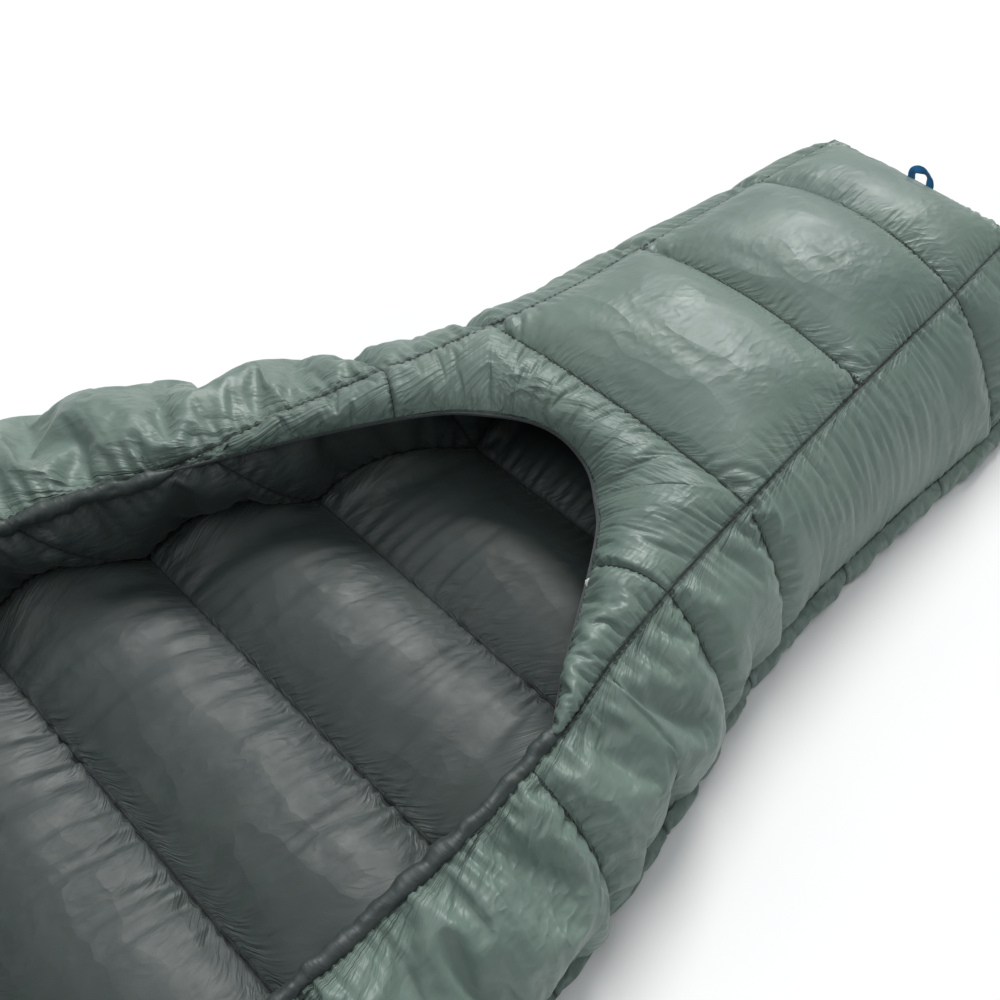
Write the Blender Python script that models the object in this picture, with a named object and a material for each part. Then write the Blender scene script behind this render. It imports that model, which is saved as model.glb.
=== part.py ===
"""Camp quilt lying open: a closed footbox, a collar round its mouth, and two side flaps.

Metres, +Z up. +Y points to the foot end, +X to the near side, and the origin is the middle of the
underside. A place along the quilt is its distance from the foot end. Every panel is an outer shell
sheet, a row of filled chambers and a lining sheet, with the gaps between chambers as sewn seams.
"""

import math

import bmesh
import bpy
from mathutils import Vector

# Overall sizes
LENGTH = 1.95
TORSO_NEAR = 0.345          # floor edge to the leg's centre line, at the torso
TORSO_FAR = 0.490
FOOT_NEAR = 0.225           # the same at the foot end
FOOT_FAR = 0.235

# Thicknesses and clearances
FLOOR_THICK = 0.030
WALL_THICK = 0.036          # each side wall at its top; it is thicker at its foot
TOP_THICK = 0.036
END_THICK = 0.030
SHEET = 0.0012              # shell or lining sheet
GAP = 0.0003                # between touching solids
STITCH = 0.0010             # sewn seam between two chambers

# Heights and places along the length, from the foot end
WALL_TOP = 0.172
FLOOR_PITCH = 0.180
FIRST_FLOOR_SEAM = 0.074
FLAP_CHAMBERS = 6
NECK_CHAMBER = 0.076        # length of the last of them
TOP_SEAMS = (0.143, 0.345, 0.560)
HINGE_CHAMBERS = 5          # floor chambers between the first seam and the flaps
COLLAR_DEPTH = 0.060        # from the mouth's seam to the crown of the arch
HORN_START = 0.132          # from the mouth's seam to where each horn is stitched across
TIP_BEFORE_HINGE = 0.049    # from the end of each horn to the flaps
RIM_TURNS = (0.0, 28.0, 50.0, 66.0)         # degrees round the arch of the rim
ARCH_ROUND = 0.62           # the arch's radii, as shares of the horns' reach and half width
HORN_WAIST = 0.78           # half width of the rim where the arch ends, as a share of the tips'
HORN_WAIST_OUTSIDE = 0.60   # where that is along the outer seam, as a share of the horns' reach
CORNER_SHARE = 0.55         # a point on the mouth's seam between its middle and its corner

# Half widths of the top panel, at the seam between it and the side walls
SEAM_FOOT = 0.131
SEAM_MOUTH = 0.183
SEAM_TIP = 0.238
RIM_NEAR = 0.250            # free edge of each flap
RIM_FAR = 0.300

# Inner foot of the side walls, from the centre line
INSIDE_FOOT = 0.185
INSIDE_NEAR = 0.235         # the same along the flaps
INSIDE_FAR = 0.290

TIP_WIDTH = 0.012

# Small pieces
BINDING = 0.004
LOOP_WIDTH = 0.032
LOOP_HEIGHT = 0.026
WEB_WIDTH = 0.008
WEB_THICK = 0.0014
LOOP_LIFT = 0.0008
TAB_SIZE = (0.012, 0.007, 0.0012)
TAB_INSET = 0.010
SNAP_RADIUS = 0.006
SNAP_HEIGHT = 0.0025
SNAP_DROP = 0.015           # from the flap's free edge down to the snap's middle
ROUND_STEPS = 20
TWIST_STEP = 0.060          # longest stretch of a wall between two sections

CENTRE = (TORSO_FAR - TORSO_NEAR) / 2       # X of the leg's centre line
HINGE = FIRST_FLOOR_SEAM + HINGE_CHAMBERS * FLOOR_PITCH
ARCH = TOP_SEAMS[2] + COLLAR_DEPTH
COLLAR_SEAM = TOP_SEAMS[2] + HORN_START
COLLAR_TIP = HINGE - TIP_BEFORE_HINGE
NEAR, FAR = 1, -1

SHELL = ((0.19, 0.23, 0.215), 0.42, 0.0)
LINING = ((0.10, 0.115, 0.12), 0.5, 0.0)
FILL = ((0.86, 0.85, 0.82), 0.95, 0.0)
WEBBING = ((0.0, 0.10, 0.30), 0.7, 0.0)
TAPE = ((0.05, 0.06, 0.06), 0.7, 0.0)
PALE = ((0.80, 0.80, 0.78), 0.5, 0.0)

parts = bpy.data.collections.new("camp_quilt")


def clear_scene():
    for item in list(bpy.data.objects):
        bpy.data.objects.remove(item, do_unlink=True)
    bpy.context.scene.collection.children.link(parts)


def finish(item, look):
    """Gives an object its own material and files it with the parts."""
    colour, roughness, metallic = look
    material = bpy.data.materials.new(item.name)
    material.use_nodes = True
    shader = material.node_tree.nodes["Principled BSDF"]
    shader.inputs["Base Color"].default_value = (*colour, 1.0)
    shader.inputs["Roughness"].default_value = roughness
    shader.inputs["Metallic"].default_value = metallic
    item.data.materials.clear()
    item.data.materials.append(material)
    for collection in list(item.users_collection):
        collection.objects.unlink(item)
    parts.objects.link(item)
    return item


def loft(name, rings, look):
    """A closed solid through sections with the same number of corners.

    A long face splits from its lower corner on one section to its higher corner on the next, so a
    twisted chamber and the sheet that follows it keep the same two triangles.
    """
    mesh = bmesh.new()
    rows = [[mesh.verts.new(corner) for corner in ring] for ring in rings]
    count = len(rows[0])
    for here, beyond in zip(rows, rows[1:]):
        for i in range(count):
            j = (i + 1) % count
            if here[i].co.z <= here[j].co.z:
                mesh.faces.new((here[i], here[j], beyond[j]))
                mesh.faces.new((here[i], beyond[j], beyond[i]))
            else:
                mesh.faces.new((here[i], here[j], beyond[i]))
                mesh.faces.new((here[j], beyond[j], beyond[i]))
    mesh.faces.new(list(reversed(rows[0])))
    mesh.faces.new(rows[-1])
    bmesh.ops.recalc_face_normals(mesh, faces=mesh.faces)
    data = bpy.data.meshes.new(name)
    mesh.to_mesh(data)
    mesh.free()
    return finish(bpy.data.objects.new(name, data), look)


def along(table, place):
    """Reads a list of (place, value) pairs with straight runs between them."""
    for (a, low), (b, high) in zip(table, table[1:]):
        if place <= b:
            return low + (high - low) * max(0.0, place - a) / (b - a)
    return table[-1][1]


def world(across, place, height):
    """A point from its distance to the leg's centre line and to the foot end."""
    return Vector((CENTRE + across, LENGTH / 2 - place, height))


# Plan of each side: (distance from the foot, distance from the centre line)
EDGE = {
    NEAR: ((0.0, FOOT_NEAR), (TOP_SEAMS[2], FOOT_NEAR + 0.020), (COLLAR_SEAM, FOOT_NEAR + 0.050),
           (HINGE, TORSO_NEAR)),
    FAR: ((0.0, FOOT_FAR), (TOP_SEAMS[2], FOOT_FAR + 0.030), (COLLAR_SEAM, FOOT_FAR + 0.070),
          (HINGE, TORSO_FAR)),
}
SEAM = {
    side: ((0.0, SEAM_FOOT), (TOP_SEAMS[2], SEAM_MOUTH), (COLLAR_TIP, SEAM_TIP), (HINGE, rim))
    for side, rim in ((NEAR, RIM_NEAR), (FAR, RIM_FAR))
}
INSIDE = {
    side: ((0.0, INSIDE_FOOT), (COLLAR_SEAM, INSIDE_FOOT), (HINGE, foot))
    for side, foot in ((NEAR, INSIDE_NEAR), (FAR, INSIDE_FAR))
}


def wall_section(side, place, layer):
    """Corners of one layer of a side wall, with its depths measured across from the outer face."""
    foot = along(EDGE[side], place)
    head = along(SEAM[side], place)
    through = foot - along(INSIDE[side], place)
    start, end = {
        "shell": ((0.0, 0.0), (SHEET, SHEET)),
        "fill": ((SHEET + GAP,) * 2, (through - SHEET - GAP, WALL_THICK - SHEET - GAP)),
        "lining": ((through - SHEET, WALL_THICK - SHEET), (through, WALL_THICK)),
    }[layer]
    low, high = FLOOR_THICK + GAP, WALL_TOP
    return [
        world(side * (foot - start[0]), place, low),
        world(side * (head - start[1]), place, high),
        world(side * (head - end[1]), place, high),
        world(side * (foot - end[0]), place, low),
    ]


def wall(name, side, places):
    """One wall panel: shell, chambers between the given places, and lining."""
    first, last = places[0], places[-1]
    tables = (EDGE[side], SEAM[side], INSIDE[side])
    stations = sorted(set(places) | {p for t in tables for p, _ in t if first < p < last})
    for start, end in list(zip(stations, stations[1:])):
        steps = math.ceil((end - start) / TWIST_STEP)
        stations += [start + (end - start) * i / steps for i in range(1, steps)]
    stations.sort()
    for skin, look in (("shell", SHELL), ("lining", LINING)):
        loft(f"{name}_{skin}", [wall_section(side, p, skin) for p in stations], look)
    for number, (start, end) in enumerate(zip(places, places[1:]), 1):
        a = start + (STITCH / 2 if start > first else 0.0)
        b = end - (STITCH / 2 if end < last else 0.0)
        span = [a] + [p for p in stations if a < p < b] + [b]
        loft(f"{name}_fill_{number}", [wall_section(side, p, "fill") for p in span], FILL)


def flat_section(place, left, right, low, high):
    return [
        world(left, place, low),
        world(left, place, high),
        world(right, place, high),
        world(right, place, low),
    ]


def slabs(name, places, tables, low, high):
    """A flat panel between two plan lines: shell below or above, chambers, lining."""
    far_line, near_line = tables
    stops = [p for table in tables for p, _ in table if places[0] < p < places[-1]]
    stations = sorted(set(list(places) + stops))

    def run(label, span, bottom, top, look):
        rings = [
            flat_section(p, -along(far_line, p), along(near_line, p), bottom, top) for p in span
        ]
        loft(label, rings, look)

    outer_low = low < WALL_TOP
    skins = [("shell", SHELL), ("lining", LINING)]
    for (skin, look), at_bottom in zip(skins, (outer_low, not outer_low)):
        base = low if at_bottom else high - SHEET
        run(f"{name}_{skin}", stations, base, base + SHEET, look)
    for number, (start, end) in enumerate(zip(places, places[1:]), 1):
        a = start + (STITCH / 2 if number > 1 else 0.0)
        b = end - (STITCH / 2 if end < places[-1] else 0.0)
        span = [a] + [p for p in stations if a < p < b] + [b]
        run(f"{name}_fill_{number:02d}", span, low + SHEET + GAP, high - SHEET - GAP, FILL)


def floor_seams():
    seams = [FIRST_FLOOR_SEAM + FLOOR_PITCH * i for i in range(HINGE_CHAMBERS + 1)]
    pitch = (LENGTH - HINGE - NECK_CHAMBER) / (FLAP_CHAMBERS - 1)
    return seams + [HINGE + pitch * i for i in range(1, FLAP_CHAMBERS)]


def make_floor():
    places = [0.0] + floor_seams() + [LENGTH - BINDING - GAP]
    slabs("floor", places, (EDGE[FAR], EDGE[NEAR]), 0.0, FLOOR_THICK)
    binding = [
        flat_section(p, -TORSO_FAR, TORSO_NEAR, 0.0, FLOOR_THICK)
        for p in (LENGTH - BINDING, LENGTH)
    ]
    loft("neck_binding", binding, TAPE)


def make_sides():
    """Fixed leg walls, then the flaps, whose objects turn about the floor's side seams."""
    first = END_THICK + GAP
    leg = [first, TOP_SEAMS[0], TOP_SEAMS[2], COLLAR_SEAM, HINGE]
    flap = [HINGE + GAP] + floor_seams()[HINGE_CHAMBERS + 1:] + [LENGTH - SNAP_HEIGHT - GAP]
    for side, name in ((NEAR, "near"), (FAR, "far")):
        wall(f"{name}_leg", side, leg)
        before = set(parts.objects)
        wall(f"{name}_flap", side, flap)
        make_snap(side, f"{name}_neck_snap")
        pivot = hinge_pivot(side)
        empty = bpy.data.objects.new(f"{name}_flap_hinge", None)
        empty.location = pivot
        parts.objects.link(empty)
        for item in set(parts.objects) - before - {empty}:
            item.parent = empty
            item.location = item.location - pivot


def hinge_pivot(side):
    edge = TORSO_NEAR if side == NEAR else TORSO_FAR
    return world(side * edge, HINGE, FLOOR_THICK / 2)


def make_snap(side, name):
    """Half of the neck snap, on the head end of a flap by its free edge."""
    corners = wall_section(side, LENGTH - SNAP_HEIGHT, "fill")
    middle = (corners[1] + corners[2]) / 2
    foot = (corners[0] + corners[3]) / 2
    down = (foot - middle).normalized() * SNAP_DROP
    bpy.ops.mesh.primitive_cylinder_add(
        vertices=ROUND_STEPS,
        radius=SNAP_RADIUS,
        depth=SNAP_HEIGHT,
        location=middle + down - Vector((0, SNAP_HEIGHT / 2, 0)),
        rotation=(math.pi / 2, 0, 0),
    )
    item = bpy.context.object
    item.name = name
    finish(item, PALE)


def make_top():
    tables = (SEAM[FAR], SEAM[NEAR])
    places = [END_THICK + GAP, TOP_SEAMS[0], TOP_SEAMS[1], TOP_SEAMS[2] - STITCH / 2]
    slabs("top", places, tables, WALL_TOP + GAP, WALL_TOP + TOP_THICK)


def collar_sections():
    """Pairs of plan points, outer seam and rim, from the near tip round to the far tip."""
    def half(side):
        start = TOP_SEAMS[2] + STITCH / 2
        corner = along(SEAM[side], start)
        cross = along(SEAM[side], COLLAR_SEAM)
        tip = along(SEAM[side], COLLAR_TIP)
        reach = COLLAR_TIP - ARCH
        outer = [(0.0, start), (CORNER_SHARE * corner, start), (corner, start), (cross, COLLAR_SEAM)]
        for share in (HORN_WAIST_OUTSIDE, 1.0):
            place = ARCH + reach * share
            outer.append((along(SEAM[side], place), place))
        width = (tip - TIP_WIDTH) * ARCH_ROUND
        rim = []
        for turn in RIM_TURNS:
            angle = math.radians(turn)
            rim.append((width * math.sin(angle), ARCH + reach * ARCH_ROUND * (1 - math.cos(angle))))
        rim.append((HORN_WAIST * tip, ARCH + reach * ARCH_ROUND))
        rim.append((tip - TIP_WIDTH, COLLAR_TIP))
        return [((side * a, b), (side * c, d)) for (a, b), (c, d) in zip(outer, rim)]

    return list(reversed(half(NEAR))) + half(FAR)[1:]


def collar_piece(name, sections, low, high, look):
    rings = []
    for outer, rim in sections:
        ring = [world(*outer, low), world(*outer, high), world(*rim, high), world(*rim, low)]
        rings.append(ring)
    loft(name, rings, look)


def split_section(a, b, distance):
    """A section a small distance from a towards b."""
    moved = []
    for p, q in zip(a, b):
        p, q = Vector(p), Vector(q)
        moved.append(tuple(p + (q - p).normalized() * distance))
    return tuple(moved)


def make_collar():
    sections = collar_sections()
    low, high = WALL_TOP + GAP, WALL_TOP + TOP_THICK
    collar_piece("collar_shell", sections, high - SHEET, high, SHELL)
    collar_piece("collar_lining", sections, low, low + SHEET, LINING)
    bottom, top = low + SHEET + GAP, high - SHEET - GAP
    near_end = split_section(sections[2], sections[1], STITCH / 2)
    near_start = split_section(sections[2], sections[3], STITCH / 2)
    far_start = split_section(sections[-3], sections[-4], STITCH / 2)
    far_end = split_section(sections[-3], sections[-2], STITCH / 2)
    collar_piece("collar_near_horn_fill", sections[:2] + [near_end], bottom, top, FILL)
    collar_piece("collar_arch_fill", [near_start] + sections[3:-3] + [far_start], bottom, top, FILL)
    collar_piece("collar_far_horn_fill", [far_end] + sections[-2:], bottom, top, FILL)
    make_rim_tab(sections)


def make_rim_tab(sections):
    """A short pale tab on the near horn, by the rim."""
    outer, rim = Vector(sections[2][0]), Vector(sections[2][1])
    spot = rim + (outer - rim).normalized() * TAB_INSET
    centre = world(spot.x, spot.y, WALL_TOP + TOP_THICK + GAP + TAB_SIZE[2] / 2)
    bpy.ops.mesh.primitive_cube_add(size=1.0, location=centre)
    item = bpy.context.object
    item.name = "rim_tab"
    item.scale = TAB_SIZE
    bpy.ops.object.transform_apply(location=False, rotation=False, scale=True)
    finish(item, PALE)


def end_section(place):
    low, shoulder, high = FLOOR_THICK + GAP, WALL_TOP, WALL_TOP + TOP_THICK
    near_edge, far_edge = along(EDGE[NEAR], place), along(EDGE[FAR], place)
    near_seam, far_seam = along(SEAM[NEAR], place), along(SEAM[FAR], place)
    return [
        world(-far_edge, place, low),
        world(-far_seam, place, shoulder),
        world(-far_seam, place, high),
        world(near_seam, place, high),
        world(near_seam, place, shoulder),
        world(near_edge, place, low),
    ]


def make_foot_end():
    layers = (
        ("foot_end_shell", 0.0, SHEET, SHELL),
        ("foot_end_fill", SHEET + GAP, END_THICK - SHEET - GAP, FILL),
        ("foot_end_lining", END_THICK - SHEET, END_THICK, LINING),
    )
    for name, start, end, look in layers:
        loft(name, [end_section(start), end_section(end)], look)


def make_hang_loop():
    """Webbing loop that stands on the foot end's upper edge and flops about that edge."""
    outer, inner = LOOP_WIDTH / 2, LOOP_WIDTH / 2 - WEB_WIDTH
    crown = LOOP_HEIGHT - outer
    arcs = []
    for radius, turn in ((outer, 1), (inner, -1)):
        steps = [math.pi * i / ROUND_STEPS for i in range(ROUND_STEPS + 1)]
        arc = [(radius * math.cos(a), crown + radius * math.sin(a)) for a in steps]
        arc = [(radius, 0.0)] + arc + [(-radius, 0.0)]
        arcs += arc if turn > 0 else list(reversed(arc))
    curve = bpy.data.curves.new("hang_loop_outline", "CURVE")
    curve.dimensions = "2D"
    curve.fill_mode = "BOTH"
    curve.extrude = WEB_THICK / 2
    spline = curve.splines.new("POLY")
    spline.points.add(len(arcs) - 1)
    for point, (x, y) in zip(spline.points, arcs):
        point.co = (x, y, 0.0, 1.0)
    spline.use_cyclic_u = True
    item = bpy.data.objects.new("hang_loop", curve)
    empty = bpy.data.objects.new("hang_loop_hinge", None)
    empty.location = world(0.0, END_THICK / 2, WALL_TOP + TOP_THICK + LOOP_LIFT)
    item.rotation_euler = (math.pi / 2, 0, 0)
    item.parent = empty
    bpy.context.scene.collection.objects.link(item)
    parts.objects.link(empty)
    finish(item, WEBBING)


def main():
    clear_scene()
    make_floor()
    make_sides()
    make_top()
    make_collar()
    make_foot_end()
    make_hang_loop()


main()
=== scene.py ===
"""Camp quilt lying open on a pale floor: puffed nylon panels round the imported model.

A place along the quilt is its distance from the foot end, and a distance across it is measured from
the leg's centre line. Each panel is a grid of cloth, cut larger than the space between its seams,
stitched down along them and blown up by the fill underneath.
"""

import math

import bpy
import mathutils
import numpy as np
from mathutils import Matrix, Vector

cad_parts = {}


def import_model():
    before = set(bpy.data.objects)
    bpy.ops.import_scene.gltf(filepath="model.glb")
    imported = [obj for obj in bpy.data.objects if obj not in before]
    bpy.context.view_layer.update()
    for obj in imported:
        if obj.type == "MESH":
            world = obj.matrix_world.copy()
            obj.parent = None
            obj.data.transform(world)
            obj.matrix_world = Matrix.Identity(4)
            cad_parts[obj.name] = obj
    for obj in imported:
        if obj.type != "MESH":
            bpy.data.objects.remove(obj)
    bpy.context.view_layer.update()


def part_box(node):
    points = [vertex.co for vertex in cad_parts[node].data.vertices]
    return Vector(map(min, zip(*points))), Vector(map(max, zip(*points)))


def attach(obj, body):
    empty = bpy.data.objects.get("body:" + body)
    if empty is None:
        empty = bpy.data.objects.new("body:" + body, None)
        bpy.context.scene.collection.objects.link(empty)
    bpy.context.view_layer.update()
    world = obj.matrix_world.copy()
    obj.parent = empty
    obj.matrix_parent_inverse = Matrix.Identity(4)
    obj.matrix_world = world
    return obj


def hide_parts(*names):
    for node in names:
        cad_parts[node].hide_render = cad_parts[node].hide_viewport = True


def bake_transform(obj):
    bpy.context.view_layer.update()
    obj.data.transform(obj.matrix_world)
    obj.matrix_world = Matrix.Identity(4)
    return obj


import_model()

NEAR, FAR = 1, -1
SIDES = {NEAR: "near", FAR: "far"}
SEED = 20

# Cloth. Each row of three is for the coarse, the middle and the fine grid.
MESH = 0.0035               # cloth grid of the long panels
FINE = 0.0026               # cloth grid of the top and the collar
COARSE = 4                  # fine grid lines from one coarse grid line to the next
DAMPING = 0.93              # speed that a point keeps from step to step
SHEAR = 0.4                 # stiffness of the grid's diagonals
ROUNDS = (60, 60, 90)       # steps
HIDDEN_ROUNDS = (50, 30, 10)        # steps of a lining that hardly shows
BENDS = (0.10, 0.025, 0.006)        # bending stiffness
PUSHES = (1.0, 0.4, 0.10)           # share of the fill's pressure
GATHER_SHARES = (0.0, 0.6, 1.0)     # share of the cloth gathered at the seams
GATHER_REACH = 0.018        # how far from a seam the gathered cloth reaches
PUCKER_REACH = 0.022        # how far from a seam the fine puckers reach
SLACK = 0.35                # how crumpled a panel is, from 0 to 1
UV_STEP = 0.37              # shift of the weave from one skin of a piece to the next

# The frame's own sizes. A place is a distance from the foot end.
FOOT_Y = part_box("foot_end_shell")[1].y
HEAD_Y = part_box("neck_binding")[0].y
LENGTH = FOOT_Y - HEAD_Y
LOOP_LOW, LOOP_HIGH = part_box("hang_loop")
CENTRE = (LOOP_LOW.x + LOOP_HIGH.x) / 2
HINGE = FOOT_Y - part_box("near_flap_shell")[1].y
MOUTH = round(FOOT_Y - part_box("top_shell")[0].y, 2)
FLOOR_SEAM_COUNT = 11
FIRST_FLOOR_SEAM = FOOT_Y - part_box("floor_fill_01")[0].y
PITCH = (HINGE - FIRST_FLOOR_SEAM) / 5      # the flaps' hinge starts five chambers past the first seam
SEAM_1 = FOOT_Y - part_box("top_fill_01")[0].y
SEAM_2 = FOOT_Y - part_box("top_fill_02")[0].y
CROSS = FOOT_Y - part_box("near_leg_fill_3")[0].y
FLOOR_SEAMS = [FIRST_FLOOR_SEAM + PITCH * i for i in range(FLOOR_SEAM_COUNT)]

# The tips of the collar's horns, and how far the walls' and rolls' ends lie from them
TIP = {NEAR: 0.872, FAR: 0.960}
TIP_MARGIN = 0.03

rng = np.random.default_rng(SEED)


# Curves and points

def curve(*points):
    """A smooth function through (place, value) points, level past its ends."""
    x, y = np.array(points, float).T
    slope = np.gradient(y, x)
    slope[0] = slope[-1] = 0.0

    def at(p):
        p = np.clip(np.asarray(p, float), x[0], x[-1])
        i = np.clip(np.searchsorted(x, p) - 1, 0, len(x) - 2)
        h = x[i + 1] - x[i]
        t = (p - x[i]) / h
        a = (1 + 2 * t) * (1 - t) ** 2 * y[i] + t * (1 - t) ** 2 * h * slope[i]
        return a + t * t * (3 - 2 * t) * y[i + 1] + t * t * (t - 1) * h * slope[i + 1]

    return at


def world(across, place, height):
    """Points in the frame from a distance across, a place along the quilt and a height."""
    across, place, height = np.broadcast_arrays(across, place, height)
    return np.stack([CENTRE + across, FOOT_Y - place, height], -1)


# The seams: along each wall's top and foot, round the floor's lining, and over the legs
TOP_ACROSS = {
    NEAR: curve((0, .131), (.143, .142), (.345, .160), (.56, .183), (.692, .200), (.78, .214),
                (.85, .230), (.895, .236), (.963, .243), (1.1, .250), (1.95, .250)),
    FAR: curve((0, .131), (.143, .142), (.345, .152), (.44, .156), (.56, .173), (.692, .199),
               (.81, .224), (.914, .238), (.960, .250), (1.0, .270), (1.09, .298), (1.95, .300)),
}
TOP_HEIGHT = {
    NEAR: curve((0, .186), (.143, .182), (.345, .184), (.56, .184), (.692, .180), (.78, .176),
                (.895, .166), (1.1, .166), (1.95, .160)),
    FAR: curve((0, .192), (.143, .186), (.345, .188), (.56, .187), (.73, .185), (.914, .180),
               (1.1, .172), (1.95, .162)),
}
LOW_ACROSS = {
    NEAR: curve((0, .216), (.143, .236), (.345, .237), (.56, .248), (.645, .262), (.714, .284),
                (.83, .310), (.974, .338), (1.15, .345), (1.95, .345)),
    FAR: curve((0, .217), (.345, .237), (.56, .256), (.692, .304), (.83, .392), (.974, .476),
               (1.15, .490), (1.95, .490)),
}
LOW_HEIGHT = curve((0, .032), (.56, .030), (.83, .020), (1.0, .0155), (1.95, .0155))
INNER_ACROSS = {
    NEAR: curve((0, .170), (.56, .160), (.62, .162), (.80, .198), (.90, .222), (.97, .240),
                (1.15, .250), (1.95, .250)),
    FAR: curve((0, .170), (.56, .150), (.62, .146), (.80, .208), (.90, .240), (.97, .265),
               (1.15, .294), (1.95, .290)),
}
LINING_HEIGHT = curve((0, .046), (1.80, .046), (1.90, .040), (1.95, .020))
SCALLOP = 0.030             # rise of the floor's lining in the middle of each chamber
SCALLOP_LEAN = 0.25         # share of that rise by which it moves outwards too
HEAD_FADE = 0.06            # length over which it flattens towards the head end
ARCH_RISE = curve((0, .000), (.143, .034), (.345, .024), (.56, .012))


def seam_top(side, place):
    """Seam along the upper edge of a side wall."""
    return world(side * TOP_ACROSS[side](place), place, TOP_HEIGHT[side](place))


def seam_low(side, place):
    """Seam where a side wall's shell meets the floor's."""
    return world(side * LOW_ACROSS[side](place), place, LOW_HEIGHT(place))


def seam_inner(side, place):
    """Seam between the floor's lining and a side's, which rises in the middle of each chamber."""
    part = np.mod(np.asarray(place) - FIRST_FLOOR_SEAM, PITCH) / PITCH
    rise = SCALLOP * np.sin(np.pi * part) * np.clip((LENGTH - place) / HEAD_FADE, 0, 1)
    return world(side * (INNER_ACROSS[side](place) + SCALLOP_LEAN * rise), place, LINING_HEIGHT(place) + rise)


# Cloth on a grid

def spread(stops, size=MESH):
    """Places from the first stop to the last, with every stop on a coarse grid line too."""
    out, marks = [np.array([stops[0]])], [0]
    for a, b in zip(stops, stops[1:]):
        count = COARSE * max(1, round(abs(b - a) / size / COARSE))
        out.append(np.linspace(a, b, count + 1)[1:])
        marks.append(marks[-1] + count)
    return np.concatenate(out), marks


def across_count(width, size=MESH):
    """How many grid lines a panel of this width takes."""
    return COARSE * max(1, round(width / size / COARSE)) + 1


def lengths(grid, axis):
    """The lengths of a grid's edges along one axis."""
    return np.linalg.norm(np.diff(grid, axis=axis), axis=-1).astype(np.float32)


def normals(grid):
    """The direction square to the cloth at each point of a grid."""
    du, dv = np.gradient(grid, axis=(0, 1))
    n = np.cross(du, dv)
    return n / np.maximum(np.linalg.norm(n, axis=-1, keepdims=True), 1e-12)


def double(field):
    """Puts a new line between each two lines of a grid, both ways."""
    for _ in range(2):
        wide = np.zeros((2 * len(field) - 1, *field.shape[1:]), field.dtype)
        wide[::2] = field
        wide[1::2] = (field[1:] + field[:-1]) / 2
        field = wide.swapaxes(0, 1)
    return field


def pull(a, b, wa, wb, rest, stiffness):
    """Moves two sets of points towards their rest distance, each by its share."""
    d = b - a
    length = np.sqrt(np.einsum("...i,...i", d, d)) + 1e-9
    move = (stiffness * (length - rest) / (length * np.maximum(wa + wb, 1e-6)))[..., None] * d
    a += wa[..., None] * move
    b -= wb[..., None] * move


def spans(count, step):
    """Slices that pair each grid line with the one a step away, in rounds that share no line."""
    for start in range(2 * step):
        lines = np.arange(start, count - step, 2 * step)
        if len(lines):
            end = lines[-1] + 1
            yield slice(start, end, 2 * step), slice(start + step, end + step, 2 * step)


def relax(x, base, weight, ease, steps, push, bend, facing, ground, cap):
    """Blows one grid of cloth up and lets it settle against its own size."""
    n, m = x.shape[:2]
    long, wide = ease
    ru = lengths(base, 0) * (1 + (long[1:] + long[:-1]) / 2)
    rv = lengths(base, 1) * (1 + (wide[:, 1:] + wide[:, :-1]) / 2)
    skew = 1 + (long[1:, 1:] + wide[1:, 1:]) / 2
    r1 = np.linalg.norm(base[1:, 1:] - base[:-1, :-1], axis=-1) * skew
    r2 = np.linalg.norm(base[1:, :-1] - base[:-1, 1:], axis=-1) * skew
    bu, bv = ru[1:] + ru[:-1], rv[:, 1:] + rv[:, :-1]
    sign = np.sign((normals(base) @ np.array(facing, float)).sum())
    w = weight
    force = (sign * push * w)[..., None]
    last = x.copy()
    for _ in range(steps):
        new = x + (x - last) * DAMPING + normals(x) * force
        last, x = x, new
        for a, b in spans(n, 1):
            pull(x[a], x[b], w[a], w[b], ru[a], 1.0)
            pull(x[a, :-1], x[b, 1:], w[a, :-1], w[b, 1:], r1[a], SHEAR)
            pull(x[a, 1:], x[b, :-1], w[a, 1:], w[b, :-1], r2[a], SHEAR)
        for a, b in spans(m, 1):
            pull(x[:, a], x[:, b], w[:, a], w[:, b], rv[:, a], 1.0)
        for a, b in spans(n, 2):
            pull(x[a], x[b], w[a], w[b], bu[a], bend)
        for a, b in spans(m, 2):
            pull(x[:, a], x[:, b], w[:, a], w[:, b], bv[:, a], bend)
        if ground is not None:
            x[..., 2] = np.maximum(x[..., 2], ground)
    off = x - base
    size = np.linalg.norm(off, axis=-1, keepdims=True)
    return base + off * np.minimum(1, cap / np.maximum(size, 1e-9))


def reach(base, held, axis):
    """How far each point of a grid lies from the nearest line that is sewn across the axis."""
    run = np.concatenate([[0.0], np.cumsum(lengths(base, axis).mean(1 - axis))])
    lines = np.flatnonzero(held.all(1 - axis))
    if not len(lines):
        return np.full(held.shape, 1.0)
    away = np.abs(run[:, None] - run[lines][None]).min(1)
    return away[:, None] if axis == 0 else away[None]


def mottle(shape, cell, low, high):
    """Smooth random numbers over a grid, from low to high, changing every few cells."""
    coarse = rng.uniform(low, high, (shape[0] // cell + 2, shape[1] // cell + 2))
    rows, columns = np.arange(shape[0]) / cell, np.arange(shape[1]) / cell
    i, j = rows.astype(int), columns.astype(int)
    p, q = (rows - i)[:, None], (columns - j)[None]
    upper = coarse[np.ix_(i, j)] * (1 - q) + coarse[np.ix_(i, j + 1)] * q
    lower = coarse[np.ix_(i + 1, j)] * (1 - q) + coarse[np.ix_(i + 1, j + 1)] * q
    return upper * (1 - p) + lower * p


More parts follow.
